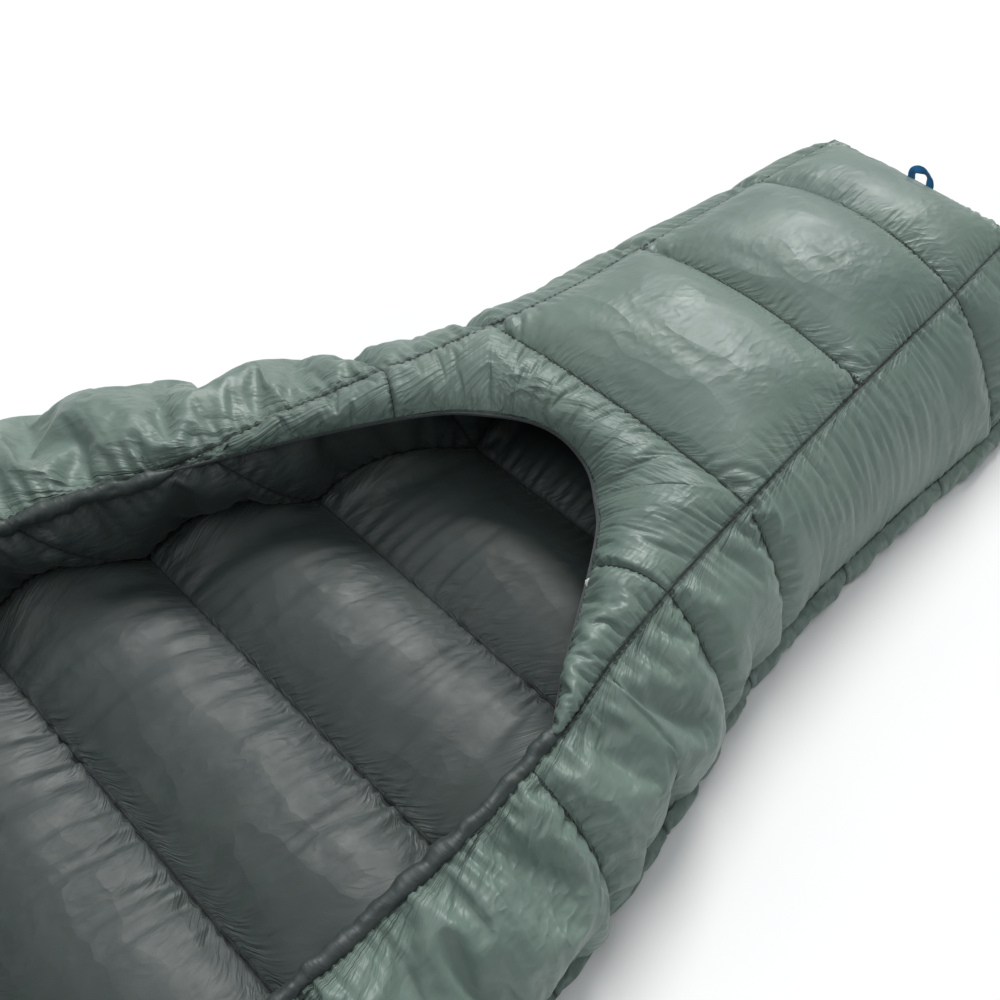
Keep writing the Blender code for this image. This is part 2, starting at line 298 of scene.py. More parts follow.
def inflate(base, held, facing, ease=(0.05, 0.02), gather=0.12, push=3.0e-5, ground=None,
            cap=0.06, rounds=ROUNDS, swell=0.008, crease=0.0006, free=None):
    """Sews a grid down where it is held and fills it, from a coarse grid to the finest.

    Ease is the spare cloth along and across the grid; gather is what the stitching adds next to it.
    Push is the fill's pressure, swell the first lift off the seams, crease the size of the first folds,
    cap the furthest that a point may move, and ground the lowest height it may sink to.
    """
    base = base.astype(np.float32)
    n, m = base.shape[:2]
    way = outward(base, facing).astype(np.float32)
    free = (~held if free is None else free).astype(np.float32)
    push = np.broadcast_to(np.asarray(push, np.float32).reshape(-1, 1), (n, 1))
    broad = mottle((n, m), 13, 0.4, 1.6)
    patchy = mottle((n, m), 6, 0.0, 1.5) ** 2
    spare = [np.asarray(e, float).reshape(-1, 1) * broad for e in ease]
    tight = [gather * patchy * np.exp(-reach(base, held, axis) / GATHER_REACH) for axis in (1, 0)]
    shift = None
    levels = zip((COARSE, 2, 1), rounds, BENDS, PUSHES, GATHER_SHARES)
    for stride, steps, bend, weaker, share in levels:
        part = (slice(None, None, stride), slice(None, None, stride))
        b, w, lift = base[part], free[part], way[part]
        rough = rng.normal(0, crease * stride, w.shape).astype(np.float32)
        shift = lift * swell if shift is None else double(shift)
        start = b + (shift + lift * rough[..., None]) * w[..., None]
        room = [(e + share * g)[part].astype(np.float32) for e, g in zip(spare, tight)]
        force = weaker * push[::stride]
        x = relax(start, b, w, room, steps, force, bend, facing, ground, cap)
        shift = x - b
    return base + shift


def ruled(start, end, count, bulge=0.0, facing=(0, 0, 1)):
    """A grid between two lines of points, arched towards a facing direction."""
    t = np.linspace(0, 1, count)[None, :, None]
    grid = start[:, None] * (1 - t) + end[:, None] * t
    height = np.broadcast_to(np.asarray(bulge, float).reshape(-1, 1, 1), (len(grid), 1, 1))
    return grid + outward(grid, facing) * height * 4 * t * (1 - t)


def outward(grid, facing):
    """The grid's normals, turned to the side that it faces."""
    n = normals(grid)
    return n * np.sign((n @ np.array(facing, float)).sum())


def sewn(grid, rows=(), columns=()):
    """Which points of a grid are stitched down: its border and the given lines."""
    fixed = np.zeros(grid.shape[:2], bool)
    for line in (0, -1, *rows):
        fixed[line] = True
    for line in (0, -1, *columns):
        fixed[:, line] = True
    return fixed


def near_seam(fixed):
    """1 on the stitched lines, falling off over the next grid lines."""
    value = fixed.astype(float)
    for share in (0.45, 0.12):
        wide = value.copy()
        wide[1:] = np.maximum(wide[1:], value[:-1] * share)
        wide[:-1] = np.maximum(wide[:-1], value[1:] * share)
        wide[:, 1:] = np.maximum(wide[:, 1:], value[:, :-1] * share)
        wide[:, :-1] = np.maximum(wide[:, :-1], value[:, 1:] * share)
        value = wide
    return value


def make_piece(name, skins, materials):
    """One object from several grids, each given as (grid, fixed, facing, material number, slack)."""
    points, faces, slots, uvs = [], [], [], []
    marks = {"seam": [], "along": [], "across": [], "slack": []}
    offset = 0
    for number, (grid, fixed, facing, slot, *slack) in enumerate(skins):
        n, m = grid.shape[:2]
        index = offset + np.arange(n * m).reshape(n, m)
        quad = [index[:-1, :-1], index[1:, :-1], index[1:, 1:], index[:-1, 1:]]
        if facing is not None and (normals(grid) @ np.array(facing, float)).sum() < 0:
            quad = quad[::-1]
        quad = np.stack(quad, -1).reshape(-1, 4)
        u = np.concatenate([np.zeros((1, m)), np.cumsum(lengths(grid, 0), 0)])
        v = np.concatenate([np.zeros((n, 1)), np.cumsum(lengths(grid, 1), 1)], 1)
        points.append(grid.reshape(-1, 3))
        faces.append(quad)
        slots.append(np.full(len(quad), slot))
        uvs.append(np.stack([v + UV_STEP * number, u], -1).reshape(-1, 2))
        marks["seam"].append(near_seam(fixed))
        slack = np.asarray(slack[0] if slack else SLACK, float).reshape(-1, 1)
        marks["slack"].append(slack + np.zeros((n, m)))
        for mark, axis in (("along", 0), ("across", 1)):
            marks[mark].append(np.exp(-reach(grid, fixed, axis) / PUCKER_REACH) + np.zeros((n, m)))
        offset += n * m
    points, faces = np.concatenate(points), np.concatenate(faces)
    mesh = bpy.data.meshes.new(name)
    mesh.vertices.add(len(points))
    mesh.vertices.foreach_set("co", points.astype(np.float32).ravel())
    mesh.loops.add(faces.size)
    mesh.loops.foreach_set("vertex_index", faces.astype(np.int32).ravel())
    mesh.polygons.add(len(faces))
    mesh.polygons.foreach_set("loop_start", np.arange(0, faces.size, 4, dtype=np.int32))
    mesh.polygons.foreach_set("material_index", np.concatenate(slots).astype(np.int32))
    mesh.update(calc_edges=True)
    layer = mesh.uv_layers.new(name="UVMap")
    layer.uv.foreach_set("vector", np.concatenate(uvs)[faces.ravel()].astype(np.float32).ravel())
    for mark, fields in marks.items():
        values = np.concatenate([field.ravel() for field in fields])
        mesh.attributes.new(mark, "FLOAT", "POINT").data.foreach_set("value", values.astype(np.float32))
    for material in materials:
        mesh.materials.append(material)
    mesh.shade_smooth()
    piece = bpy.data.objects.new(name, mesh)
    bpy.context.scene.collection.objects.link(piece)
    return piece


def tube(name, path, radius, material, sides=8, turn=0.0, seam=False):
    """A closed tube along a line of points, with a sewn line down it if asked."""
    path = np.asarray(path, float)
    run = np.gradient(path, axis=0)
    run /= np.maximum(np.linalg.norm(run, axis=-1, keepdims=True), 1e-9)
    side = np.cross(run, (0, 0, 1.0))
    side /= np.linalg.norm(side, axis=-1, keepdims=True)
    up = np.cross(side, run)
    angle = turn + np.linspace(0, 2 * math.pi, sides + 1)[None, :, None]
    ring = path[:, None] + radius * (side[:, None] * np.cos(angle) + up[:, None] * np.sin(angle))
    ends = [np.repeat(path[i][None, None], sides + 1, 1) for i in (0, -1)]
    grid = np.concatenate([ends[0], ring, ends[1]])
    fixed = np.zeros(grid.shape[:2], bool)
    fixed[:, [0, -1]] = seam
    return make_piece(name, [(grid, fixed, None, 0)], [material])


# Materials

class Nodes:
    """Short calls for building one material's node tree."""

    def __init__(self, name):
        self.material = bpy.data.materials.new(name)
        self.material.use_nodes = True
        self.tree = self.material.node_tree
        self.shader = self.tree.nodes["Principled BSDF"]

    def add(self, kind, operation=None, **inputs):
        node = self.tree.nodes.new("ShaderNode" + kind)
        if operation:
            node.operation = operation
        for name, value in inputs.items():
            self.put(node.inputs[name.replace("_", " ")], value)
        return node

    def put(self, socket, value):
        """Links a socket to an output, or sets its value."""
        if isinstance(value, bpy.types.NodeSocket):
            self.tree.links.new(value, socket)
        else:
            socket.default_value = value

    def math(self, operation, first, second=0.0):
        node = self.add("Math", operation)
        self.put(node.inputs[0], first)
        self.put(node.inputs[1], second)
        return node.outputs[0]

    def noise(self, where, scale, detail=3.0, roughness=0.55):
        node = self.add("TexNoise", Vector=where, Scale=scale, Detail=detail, Roughness=roughness)
        return node.outputs["Fac"]

    def ridges(self, where, scale, detail=2.0):
        """Sharp crooked ridges: noise folded at its middle."""
        level = self.math("SUBTRACT", self.noise(where, scale, detail, 0.5), 0.5)
        return self.math("SUBTRACT", 0.25, self.math("ABSOLUTE", level))

    def mark(self, name):
        """One of the marks that make_piece writes on the mesh."""
        node = self.add("Attribute")
        node.attribute_name = name
        return node.outputs["Fac"]

    def ramp(self, value, *stops):
        node = self.add("ValToRGB", Fac=value)
        elements = node.color_ramp.elements
        while len(elements) < len(stops):
            elements.new(0.5)
        for element, (place, colour) in zip(elements, stops):
            element.position = place
            element.color = (*colour, 1)
        return node.outputs["Color"]

    def scaled(self, where, factors):
        node = self.add("VectorMath", "MULTIPLY")
        self.put(node.inputs[0], where)
        node.inputs[1].default_value = factors
        return node.outputs[0]


def grey(value):
    return (value, value, value)


PUCKER = 0.0062             # height of the puckers next to the seams
CRUMPLE = 0.020             # height of the sharp creases across a panel
STITCH_PITCH = 0.0036
STITCH_SHARE = 0.68         # of its pitch that a stitch covers
THREAD = 0.00035            # width of the weave's threads over pi
SEAM_LINE = 0.80            # mark above which a point lies in the sewn line itself
MATT_SEAM = 0.9             # roughness in the seam

# Texture scales: per metre of the object, or per metre of cloth
COLOUR_SCALE = 7.0
WEAR_SCALE = 26.0
CRUMPLED_SCALE = 9.0
PUCKER_SCALE = 75.0
BROAD_SCALE, SMALL_SCALE = 17.0, 44.0
SMALL_SHARE = 0.35          # height of the small creases over the broad ones


def nylon(name, pale, deep, stitch_and_shade, roughness, sheen):
    """Thin satin nylon: plain weave, fine creases, dark stitched seams with painted shade in the cloth beside
    them.
    """
    nodes = Nodes(name)
    cloth = nodes.add("TexCoord").outputs["UV"]
    place = nodes.add("TexCoord").outputs["Object"]
    seam = nodes.mark("seam")

    patches = nodes.noise(place, COLOUR_SCALE, 4.0)
    colour = nodes.ramp(patches, (0.34, deep), (0.68, pale))
    u_v = nodes.add("SeparateXYZ", Vector=cloth)
    run = nodes.math("ADD", u_v.outputs["X"], u_v.outputs["Y"])
    phase = nodes.math("FRACT", nodes.math("MULTIPLY", run, 1 / STITCH_PITCH))
    thread = nodes.math("LESS_THAN", phase, STITCH_SHARE)
    line = nodes.math("GREATER_THAN", seam, SEAM_LINE)
    dark = nodes.math("MULTIPLY", line, nodes.math("ADD", nodes.math("MULTIPLY", thread, 0.45), 0.4))
    # Painted shade: beside each seam the cloth darkens towards the stitch colour, standing in for the shade
    # in the seam's groove.
    painted_seam_shade = nodes.math("MULTIPLY", nodes.math("POWER", seam, 1.6), 0.35)
    mixed = nodes.add("Mix")
    mixed.data_type = "RGBA"
    nodes.put(mixed.inputs["Factor"], nodes.math("MAXIMUM", dark, painted_seam_shade))
    nodes.put(mixed.inputs["A"], colour)
    nodes.put(mixed.inputs["B"], (*stitch_and_shade, 1))
    nodes.put(nodes.shader.inputs["Base Color"], mixed.outputs["Result"])

    worn = nodes.noise(place, WEAR_SCALE, 5.0)
    rough = nodes.ramp(worn, (0.3, grey(roughness - 0.05)), (0.7, grey(roughness + 0.06)))
    matt = nodes.add("Mix")
    matt.data_type = "RGBA"
    nodes.put(matt.inputs["Factor"], seam)
    nodes.put(matt.inputs["A"], rough)
    nodes.put(matt.inputs["B"], (*grey(MATT_SEAM), 1))
    nodes.put(nodes.shader.inputs["Roughness"], matt.outputs["Result"])
    nodes.shader.inputs["Sheen Weight"].default_value = sheen
    nodes.shader.inputs["Sheen Roughness"].default_value = 0.35
    nodes.shader.inputs["Specular IOR Level"].default_value = 0.48

    threads = nodes.scaled(cloth, (1 / THREAD, 1 / THREAD, 1.0))
    warp = nodes.add("SeparateXYZ", Vector=threads)
    weave = nodes.math("MULTIPLY", nodes.math("SINE", warp.outputs["X"]),
                       nodes.math("SINE", warp.outputs["Y"]))
    long_wise = nodes.ridges(nodes.scaled(cloth, (1.0, 0.25, 1.0)), PUCKER_SCALE)
    cross_wise = nodes.ridges(nodes.scaled(cloth, (0.25, 1.0, 1.0)), PUCKER_SCALE)
    pucker = nodes.math("ADD", nodes.math("MULTIPLY", nodes.mark("along"), long_wise),
                        nodes.math("MULTIPLY", nodes.mark("across"), cross_wise))
    crumpled = nodes.noise(place, CRUMPLED_SCALE, 2.0)
    where = nodes.ramp(crumpled, (0.38, grey(0.25)), (0.62, grey(1.0)))
    broad = nodes.ridges(nodes.scaled(cloth, (0.45, 1.0, 1.0)), BROAD_SCALE, 1.2)
    small = nodes.ridges(nodes.scaled(cloth, (1.0, 0.6, 1.0)), SMALL_SCALE, 2.0)
    crumple = nodes.math("ADD", broad, nodes.math("MULTIPLY", small, SMALL_SHARE))
    crumple = nodes.math("MULTIPLY", crumple, nodes.math("MULTIPLY", where, nodes.mark("slack")))
    fine = nodes.add("Bump", Strength=0.12, Distance=0.00012, Height=weave)
    mid = nodes.add("Bump", Strength=1.0, Distance=PUCKER, Height=pucker, Normal=fine.outputs[0])
    wide = nodes.add("Bump", Strength=1.0, Distance=CRUMPLE, Height=crumple, Normal=mid.outputs[0])
    sunk = nodes.add("Bump", Strength=0.35, Distance=0.0008, Height=seam, Normal=wide.outputs[0])
    sunk.invert = True
    nodes.put(nodes.shader.inputs["Normal"], sunk.outputs[0])
    return nodes.material


def webbing(name, pale, deep, rib):
    """Woven tape: ribs across it, threads along it, one rib's pitch apart."""
    nodes = Nodes(name)
    cloth = nodes.add("TexCoord").outputs["UV"]
    axes = nodes.add("SeparateXYZ", Vector=cloth)
    ribs = nodes.math("SINE", nodes.math("MULTIPLY", axes.outputs["Y"], 2 * math.pi / rib))
    rows = nodes.math("SINE", nodes.math("MULTIPLY", axes.outputs["X"], 2 * math.pi / rib))
    both = nodes.math("MULTIPLY", ribs, rows)
    level = nodes.math("ADD", nodes.math("MULTIPLY", both, 0.35), nodes.noise(cloth, 300.0, 2.0))
    nodes.put(nodes.shader.inputs["Base Color"], nodes.ramp(level, (0.25, deep), (0.8, pale)))
    nodes.put(nodes.shader.inputs["Roughness"],
              nodes.ramp(level, (0.2, grey(0.65)), (0.8, grey(0.85))))
    nodes.shader.inputs["Sheen Weight"].default_value = 0.25
    bump = nodes.add("Bump", Strength=0.7, Distance=0.0004, Height=level)
    nodes.put(nodes.shader.inputs["Normal"], bump.outputs[0])
    return nodes.material


def plastic(name, pale, deep):
    """Moulded resin with a fine grain."""
    nodes = Nodes(name)
    place = nodes.add("TexCoord").outputs["Object"]
    grain = nodes.noise(place, 900.0, 3.0)
    nodes.put(nodes.shader.inputs["Base Color"], nodes.ramp(grain, (0.3, deep), (0.7, pale)))
    nodes.put(nodes.shader.inputs["Roughness"],
              nodes.ramp(grain, (0.3, grey(0.35)), (0.7, grey(0.5))))
    bump = nodes.add("Bump", Strength=0.3, Distance=0.0002, Height=grain)
    nodes.put(nodes.shader.inputs["Normal"], bump.outputs[0])
    return nodes.material


SHELL = nylon("shell_nylon", (0.146, 0.207, 0.176), (0.118, 0.171, 0.147), (0.006, 0.008, 0.008),
              0.47, 0.10)
# Painted shade: the lining is nearly the shell's cloth, a little bluer, but its colour is darkened to about a
# quarter of the shell's for the shade inside the quilt and under the rim.
SHADED_LINING = nylon("lining_nylon", (0.033, 0.047, 0.043), (0.026, 0.037, 0.035), (0.004, 0.005, 0.006),
               0.52, 0.08)
LOOP_BLUE = webbing("loop_webbing", (0.020, 0.250, 0.580), (0.010, 0.150, 0.380), 0.0012)
TAPE = webbing("binding_tape", (0.045, 0.055, 0.056), (0.022, 0.028, 0.030), 0.0009)
PALE = webbing("pale_trim", (0.75, 0.76, 0.74), (0.55, 0.56, 0.55), 0.0010)
SNAP = plastic("snap_resin", (0.06, 0.07, 0.07), (0.04, 0.045, 0.045))


# The side walls

WIDENING = 0.80             # where the torso spreads
SIDE_STOPS = sorted({0.0, SEAM_1, MOUTH, CROSS, WIDENING, LENGTH, *FLOOR_SEAMS})
WALL_SEAM = {NEAR: TIP[NEAR] + TIP_MARGIN, FAR: 0.345}      # the seam that only this wall has
FIRST_WALL = {NEAR: 6, FAR: 7}      # the first floor seam that runs on up the wall
WALL_WIDTH = {NEAR: 0.17, FAR: 0.24}
LINING_WIDTH = 0.15
CAP_COLUMNS = 33            # the flap's end panel
CAP_BULGE = 0.005
SIDE_BULGE = {
    NEAR: curve((0, .010), (.35, .016), (.62, .018), (.80, .030), (1.1, .034), (1.95, .030)),
    FAR: curve((0, .014), (.35, .022), (.62, .026), (.80, .050), (1.1, .060), (1.95, .050)),
}
LINING_BULGE = {
    NEAR: curve((0, .004), (.60, .004), (1.1, .008), (1.4, .024), (1.95, .024)),
    FAR: curve((0, .006), (.60, .008), (.80, .022), (1.1, .026), (1.95, .026)),
}
LEAN = curve((0, 0), (.50, 0), (.72, .09), (1.0, .11), (1.5, .08), (1.95, 0))   # of the wall's lining
LOOSE = curve((0, .15), (.45, .25), (.62, .6), (.75, 1.0), (1.95, 1.0))         # spare cloth of the wall
FOLD_START, FOLD_END = 0.92, 1.36       # places where the wall's bend with its flap would start and end; nothing turns it

# The strip of the floor's lining under each wall
FOOT_COLUMNS = 21
FOOT_PUFF = 0.009
NEST = 0.0008               # gap between the wall's strip and the floor's
STRIP_PUCKER = 0.0011
STRIP_PITCH = 0.013
STRIP_REACH = 0.02


def row_at(places, place):
    """The grid line nearest to a place."""
    return int(np.argmin(np.abs(places - place)))


def make_side(side):
    """A side of the footbox that runs on as the torso's wall, then as the flap to the head end."""
    name = SIDES[side]
    stops = sorted({*SIDE_STOPS, TIP[side] + TIP_MARGIN})
    places, _ = spread(stops)
    top, low, inner = seam_top(side, places), seam_low(side, places), seam_inner(side, places)
    out_way, in_way = (side, 0, 0.6), (-side, 0, 0.1)

    seams = (SEAM_1, MOUTH, CROSS, WALL_SEAM[side], *FLOOR_SEAMS[FIRST_WALL[side]:])
    outer = ruled(top, low, across_count(WALL_WIDTH[side]), SIDE_BULGE[side](places), out_way)
    held = sewn(outer, [row_at(places, seam) for seam in seams])
    loose = LOOSE(places)
    outer = inflate(outer, held, out_way, ease=(0.02 + 0.10 * loose, 0.014 + 0.10 * loose), gather=0.22,
                    push=2.6e-5 - 1.7e-5 * loose, ground=0.004, crease=0.0014)

    lining_top = seam_top(side, places + LEAN(places))
    lining = ruled(lining_top, inner, across_count(LINING_WIDTH), LINING_BULGE[side](places), in_way)
    lining_rows = [row_at(places, seam) for seam in FLOOR_SEAMS]
    lining_held = sewn(lining, lining_rows)
    lining = inflate(lining, lining_held, in_way, ease=(0.05, 0.02), gather=0.10, push=2.0e-5, ground=0.03)

    under = wall_foot(inner, low, places)
    under[..., 2] += NEST * np.sin(np.pi * np.linspace(0, 1, FOOT_COLUMNS))[None]
    under_held = sewn(under, lining_rows)

    foot_cap = ruled(resampled(lining[0], len(outer[0])), outer[0], 5)
    way = (0, -1, 0)
    cap = ruled(resampled(lining[-1], len(outer[-1])), outer[-1], CAP_COLUMNS, CAP_BULGE, way)
    cap_held = sewn(cap)
    cap = inflate(cap, cap_held, way, ease=(0.02, 0.03), gather=0.25, push=1.0e-5, swell=0.003,
                  ground=0.002, crease=0.0012)
    ends = [(foot_cap, sewn(foot_cap), (0, 1, 0), 0), (cap, cap_held, way, 0, 1.0)]

    skins = [(outer, held, out_way, 0, 0.4 + 0.6 * loose), (lining, lining_held, in_way, 1),
             (under, under_held, (0, 0, -1), 1), *ends]
    piece = make_piece(f"{name}_side", skins, [SHELL, SHADED_LINING])
    fills = [f"{name}_leg_fill_{i}" for i in range(1, 5)] + [f"{name}_flap_fill_{i}" for i in range(1, 7)]
    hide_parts(f"{name}_leg_shell", f"{name}_leg_lining", f"{name}_flap_shell",
                f"{name}_flap_lining", *fills)
    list(fold_span())
    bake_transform(piece)


def fold_span():
    """Points in the frame where a side's bend would start and end; nothing uses them."""
    return tuple(world(0.0, FOLD_START, 0.0)), tuple(world(0.0, FOLD_END, 0.0))


def wall_foot(inner, low, places):
    """The floor's lining under a side wall, from the inner seam to the lower one, gently puffed."""
    strip = ruled(inner, low, FOOT_COLUMNS)
    across = np.linspace(0, 1, FOOT_COLUMNS)[None]
    part = np.mod(places - FIRST_FLOOR_SEAM, PITCH)[:, None] / PITCH
    away = np.minimum(part, 1 - part) * PITCH
    head = np.clip((LENGTH - places) / HEAD_FADE, 0, 1)[:, None]
    puff = FOOT_PUFF * head * np.sin(np.pi * part) ** 0.6 * np.sin(np.pi * across)
    run = np.linalg.norm(strip - inner[:, None], axis=-1)
    wave = np.sin(2 * np.pi * run / STRIP_PITCH + 3 * np.sin(40 * places[:, None]))
    pucker = STRIP_PUCKER * head * wave
    strip[..., 2] += puff + pucker * np.exp(-away / STRIP_REACH) * np.sin(np.pi * across)
    return strip


def resampled(line, count):
    """The same line with another number of points."""
    old = np.linspace(0, 1, len(line))
    new = np.linspace(0, 1, count)
    return np.stack([np.interp(new, old, line[:, i]) for i in range(3)], -1)


# The footbox's top

TOP_WIDTH = 0.36


def arch(grid_places, columns):
    """How far a transverse seam of the top rises over its ends, across the quilt."""
    t = np.linspace(0, 1, columns)[None]
    return ARCH_RISE(grid_places)[:, None] * 4 * t * (1 - t)


def make_top():
    """Three chambers over the legs, from the foot seam to the collar."""
    places, marks = spread([0.0, SEAM_1, SEAM_2, MOUTH], FINE)
    far, near = seam_top(FAR, places), seam_top(NEAR, places)
    count = across_count(TOP_WIDTH, FINE)
    base = ruled(far, near, count)
    base[..., 2] += arch(places, count)
    held = sewn(base, marks)
    outer = inflate(base, held, (0, 0, 1), ease=(0.026, 0.016), gather=0.20, crease=0.0009)
    lining = inflate(base, held, (0, 0, -1), gather=0.08, push=2.4e-5, rounds=HIDDEN_ROUNDS)
    skins = [(outer, held, (0, 0, 1), 0, 0.5), (lining, held, (0, 0, -1), 1)]
    piece = make_piece("footbox_top", skins, [SHELL, SHADED_LINING])
    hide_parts("top_shell", "top_lining", "top_fill_01", "top_fill_02", "top_fill_03")
    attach(piece, "quilt_body")
    return outer


# The collar: a U of cloth between the top's seams and the rim. Its stations run from the near
# horn's tip, through the near cross seam (1), the corner (2), the middle (3), the far corner (4) and
# the far cross seam (5), to the far horn's tip (6).
RIM_ACROSS = curve((0, .232), (.5, .190), (1, .128), (2, .072), (2.5, .040), (3, -.004), (3.5, -.044),
                   (4, -.082), (5, -.146), (5.5, -.194), (6, -.250))
RIM_PLACE = curve((0, .872), (.5, .814), (1, .717), (2, .652), (2.5, .630), (3, .619), (3.5, .625),
                  (4, .648), (5, .722), (5.5, .815), (6, .960))
RIM_HEIGHT = curve((0, .166), (.5, .168), (1, .170), (2, .172), (3, .176), (4, .174), (5, .172),
                   (5.5, .172), (6, .178))
COLLAR_BULGE = curve((0, .006), (.3, .018), (.6, .020), (1, .017), (2, .020), (3, .016), (4, .020),
                     (5, .018), (5.5, .016), (6, .004))
COLLAR_EASE = curve((0, .05), (.6, .07), (1.2, .06), (2, .06), (4, .06), (5, .07), (5.5, .06), (6, .03))
COLLAR_ENDS = (0, 1, 2, 4, 5, 6)                # stations where its seams meet others
COLLAR_RUNS = (0.23, 0.13, 0.36, 0.13, 0.29)    # lengths from each to the next
COLLAR_WIDTH = 0.085
PIPING = 0.0018


def collar_seam(s):
    """The collar's outer edge: down one top seam, across on the last seam of the top, up the other."""
    points = np.zeros((len(s), 3))
    for i, station in enumerate(s):
        if station < 1:
            points[i] = seam_top(NEAR, TIP[NEAR] + (CROSS - TIP[NEAR]) * station)
        elif station < 2:
            points[i] = seam_top(NEAR, CROSS + (MOUTH - CROSS) * (station - 1))
        elif station <= 4:
            t = (station - 2) / 2
            a, b = seam_top(NEAR, MOUTH), seam_top(FAR, MOUTH)
            points[i] = a * (1 - t) + b * t
            points[i][2] += float(ARCH_RISE(MOUTH)) * 4 * t * (1 - t)
        elif station <= 5:
            points[i] = seam_top(FAR, MOUTH + (CROSS - MOUTH) * (station - 4))
        else:
            points[i] = seam_top(FAR, CROSS + (TIP[FAR] - CROSS) * (station - 5))
    return points


def rim_line(s):
    """The collar's inner edge, which is the rim of the mouth."""
    return world(RIM_ACROSS(s), RIM_PLACE(s), RIM_HEIGHT(s))


def make_collar():
    """The puffed edge over the mouth, with a horn down each side."""
    s, marks = [np.zeros(1)], [0]
    for a, b, long in zip(COLLAR_ENDS, COLLAR_ENDS[1:], COLLAR_RUNS):
        count = COARSE * round(long / FINE / COARSE)
        s.append(np.linspace(a, b, count + 1)[1:])
        marks.append(marks[-1] + count)
    s = np.concatenate(s)
    seam, rim = collar_seam(s), rim_line(s)
    count = across_count(COLLAR_WIDTH, FINE)
    rows = [marks[1], marks[4]]
    skins = []
    for way, share, slot in (((0, 0, 1), 1.0, 0), ((0, 0, -1), 0.7, 1)):
        base = ruled(seam, rim, count, COLLAR_BULGE(s) * share, way)
        held = sewn(base, rows)
        grid = inflate(base, held, way, ease=(COLLAR_EASE(s), 0.05), gather=0.16, push=2.2e-5, cap=0.03,
                       swell=0.004)
        skins.append((grid, held, way, slot, 0.7))
    piece = make_piece("collar", skins, [SHELL, SHADED_LINING])
    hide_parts("collar_shell", "collar_lining", "collar_near_horn_fill", "collar_arch_fill",
                "collar_far_horn_fill")
    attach(piece, "quilt_body")

    piping = tube("collar_rim_piping", rim_line(np.linspace(0, 6, 240)), PIPING, TAPE)
    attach(piping, "quilt_body")


# The floor

FLOOR_WIDTH = 0.46
FLOOR_MESH = 0.0058         # cloth grid across the floor's lining
FLOOR_CROWN = 0.010         # rise of each chamber's middle over its seams
FLOOR_EDGE = 0.12           # share of the width over which the lining leaves its side seams
EDGE_COLUMNS = 16
MIDDLE_COLUMNS = 19
END_ROUND = 0.03            # how far from each end the pad's edge thins
SIDE_ROUND = 0.009          # how far its rounded edge stands out past the lower seams


def make_floor():
    """The pad under the whole quilt: a lining in the footbox and torso, and the shell under it."""
    places, marks = spread([0.0, *FLOOR_SEAMS, LENGTH])
    seams = marks[1:-1]
    far_in, near_in = seam_inner(FAR, places), seam_inner(NEAR, places)
    far_low, near_low = seam_low(FAR, places), seam_low(NEAR, places)

    count = across_count(FLOOR_WIDTH, FLOOR_MESH)
    lining = ruled(far_in, near_in, count)
    across = np.linspace(0, 1, count)[None]
    part = np.mod(places - FIRST_FLOOR_SEAM, PITCH) / PITCH
    level = LINING_HEIGHT(places) + FLOOR_CROWN * np.sin(np.pi * part)
    level[-1] = LINING_HEIGHT(LENGTH)
    flat = np.repeat(level[:, None], count, 1)
    hold = np.minimum(1, np.minimum(across, 1 - across) / FLOOR_EDGE)
    lining[..., 2] = lining[..., 2] * (1 - hold) + flat * hold
    held = sewn(lining, seams)
    lining = inflate(lining, held, (0, 0, 1), ease=(0.024, 0.006), gather=0.20, push=2.6e-5)

    strips = []
    for inner, low in ((far_in, far_low), (near_in, near_low)):
        strip = wall_foot(inner, low, places)
        strips.append((strip, sewn(strip, seams), (0, 0, 1), 1))

    angle = np.linspace(math.pi / 2, -math.pi / 2, EDGE_COLUMNS)[None]
    drop = 1 - np.clip(np.minimum(places, LENGTH - places) / END_ROUND, 0, 1)
    low_height = LOW_HEIGHT(places)[:, None]
    thick = low_height * np.sqrt(1 - drop ** 2)[:, None]
    swell = SIDE_ROUND * np.sqrt(1 - drop ** 2)[:, None]
    edges = []
    for side, low in ((FAR, far_low), (NEAR, near_low)):
        x = low[:, :1] + side * swell * np.cos(angle)
        z = low_height - thick / 2 + thick / 2 * np.sin(angle)
        edges.append(np.stack([x, np.repeat(low[:, 1:2], EDGE_COLUMNS, 1), z], -1))
    flat = ruled(edges[0][:, -1], edges[1][:, -1], MIDDLE_COLUMNS)
    outer = np.concatenate([edges[0], flat[:, 1:-1], edges[1][:, ::-1]], 1)
    outer_held = sewn(outer, seams)
    free = ~outer_held
    free[:, EDGE_COLUMNS + 1:-EDGE_COLUMNS - 1] = False
    outer = inflate(outer, outer_held, (0, 0, -1), ease=(0.05, 0.03), gather=0.10, push=2.4e-5,
                    ground=0.0, cap=0.02, swell=0.004, free=free)

    skins = [(lining, held, (0, 0, 1), 1, 0.30), *strips, (outer, outer_held, (0, 0, -1), 0)]
    piece = make_piece("floor_pad", skins, [SHELL, SHADED_LINING])
    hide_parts("floor_shell", "floor_lining", *[f"floor_fill_{i:02}" for i in range(1, 13)])
    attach(piece, "quilt_body")


END_ROWS, END_COLUMNS = 81, 49
END_BULGES = (((0, 1, 0), 0.014, 0), ((0, -1, 0), 0.004, 1))    # facing, bulge, material number


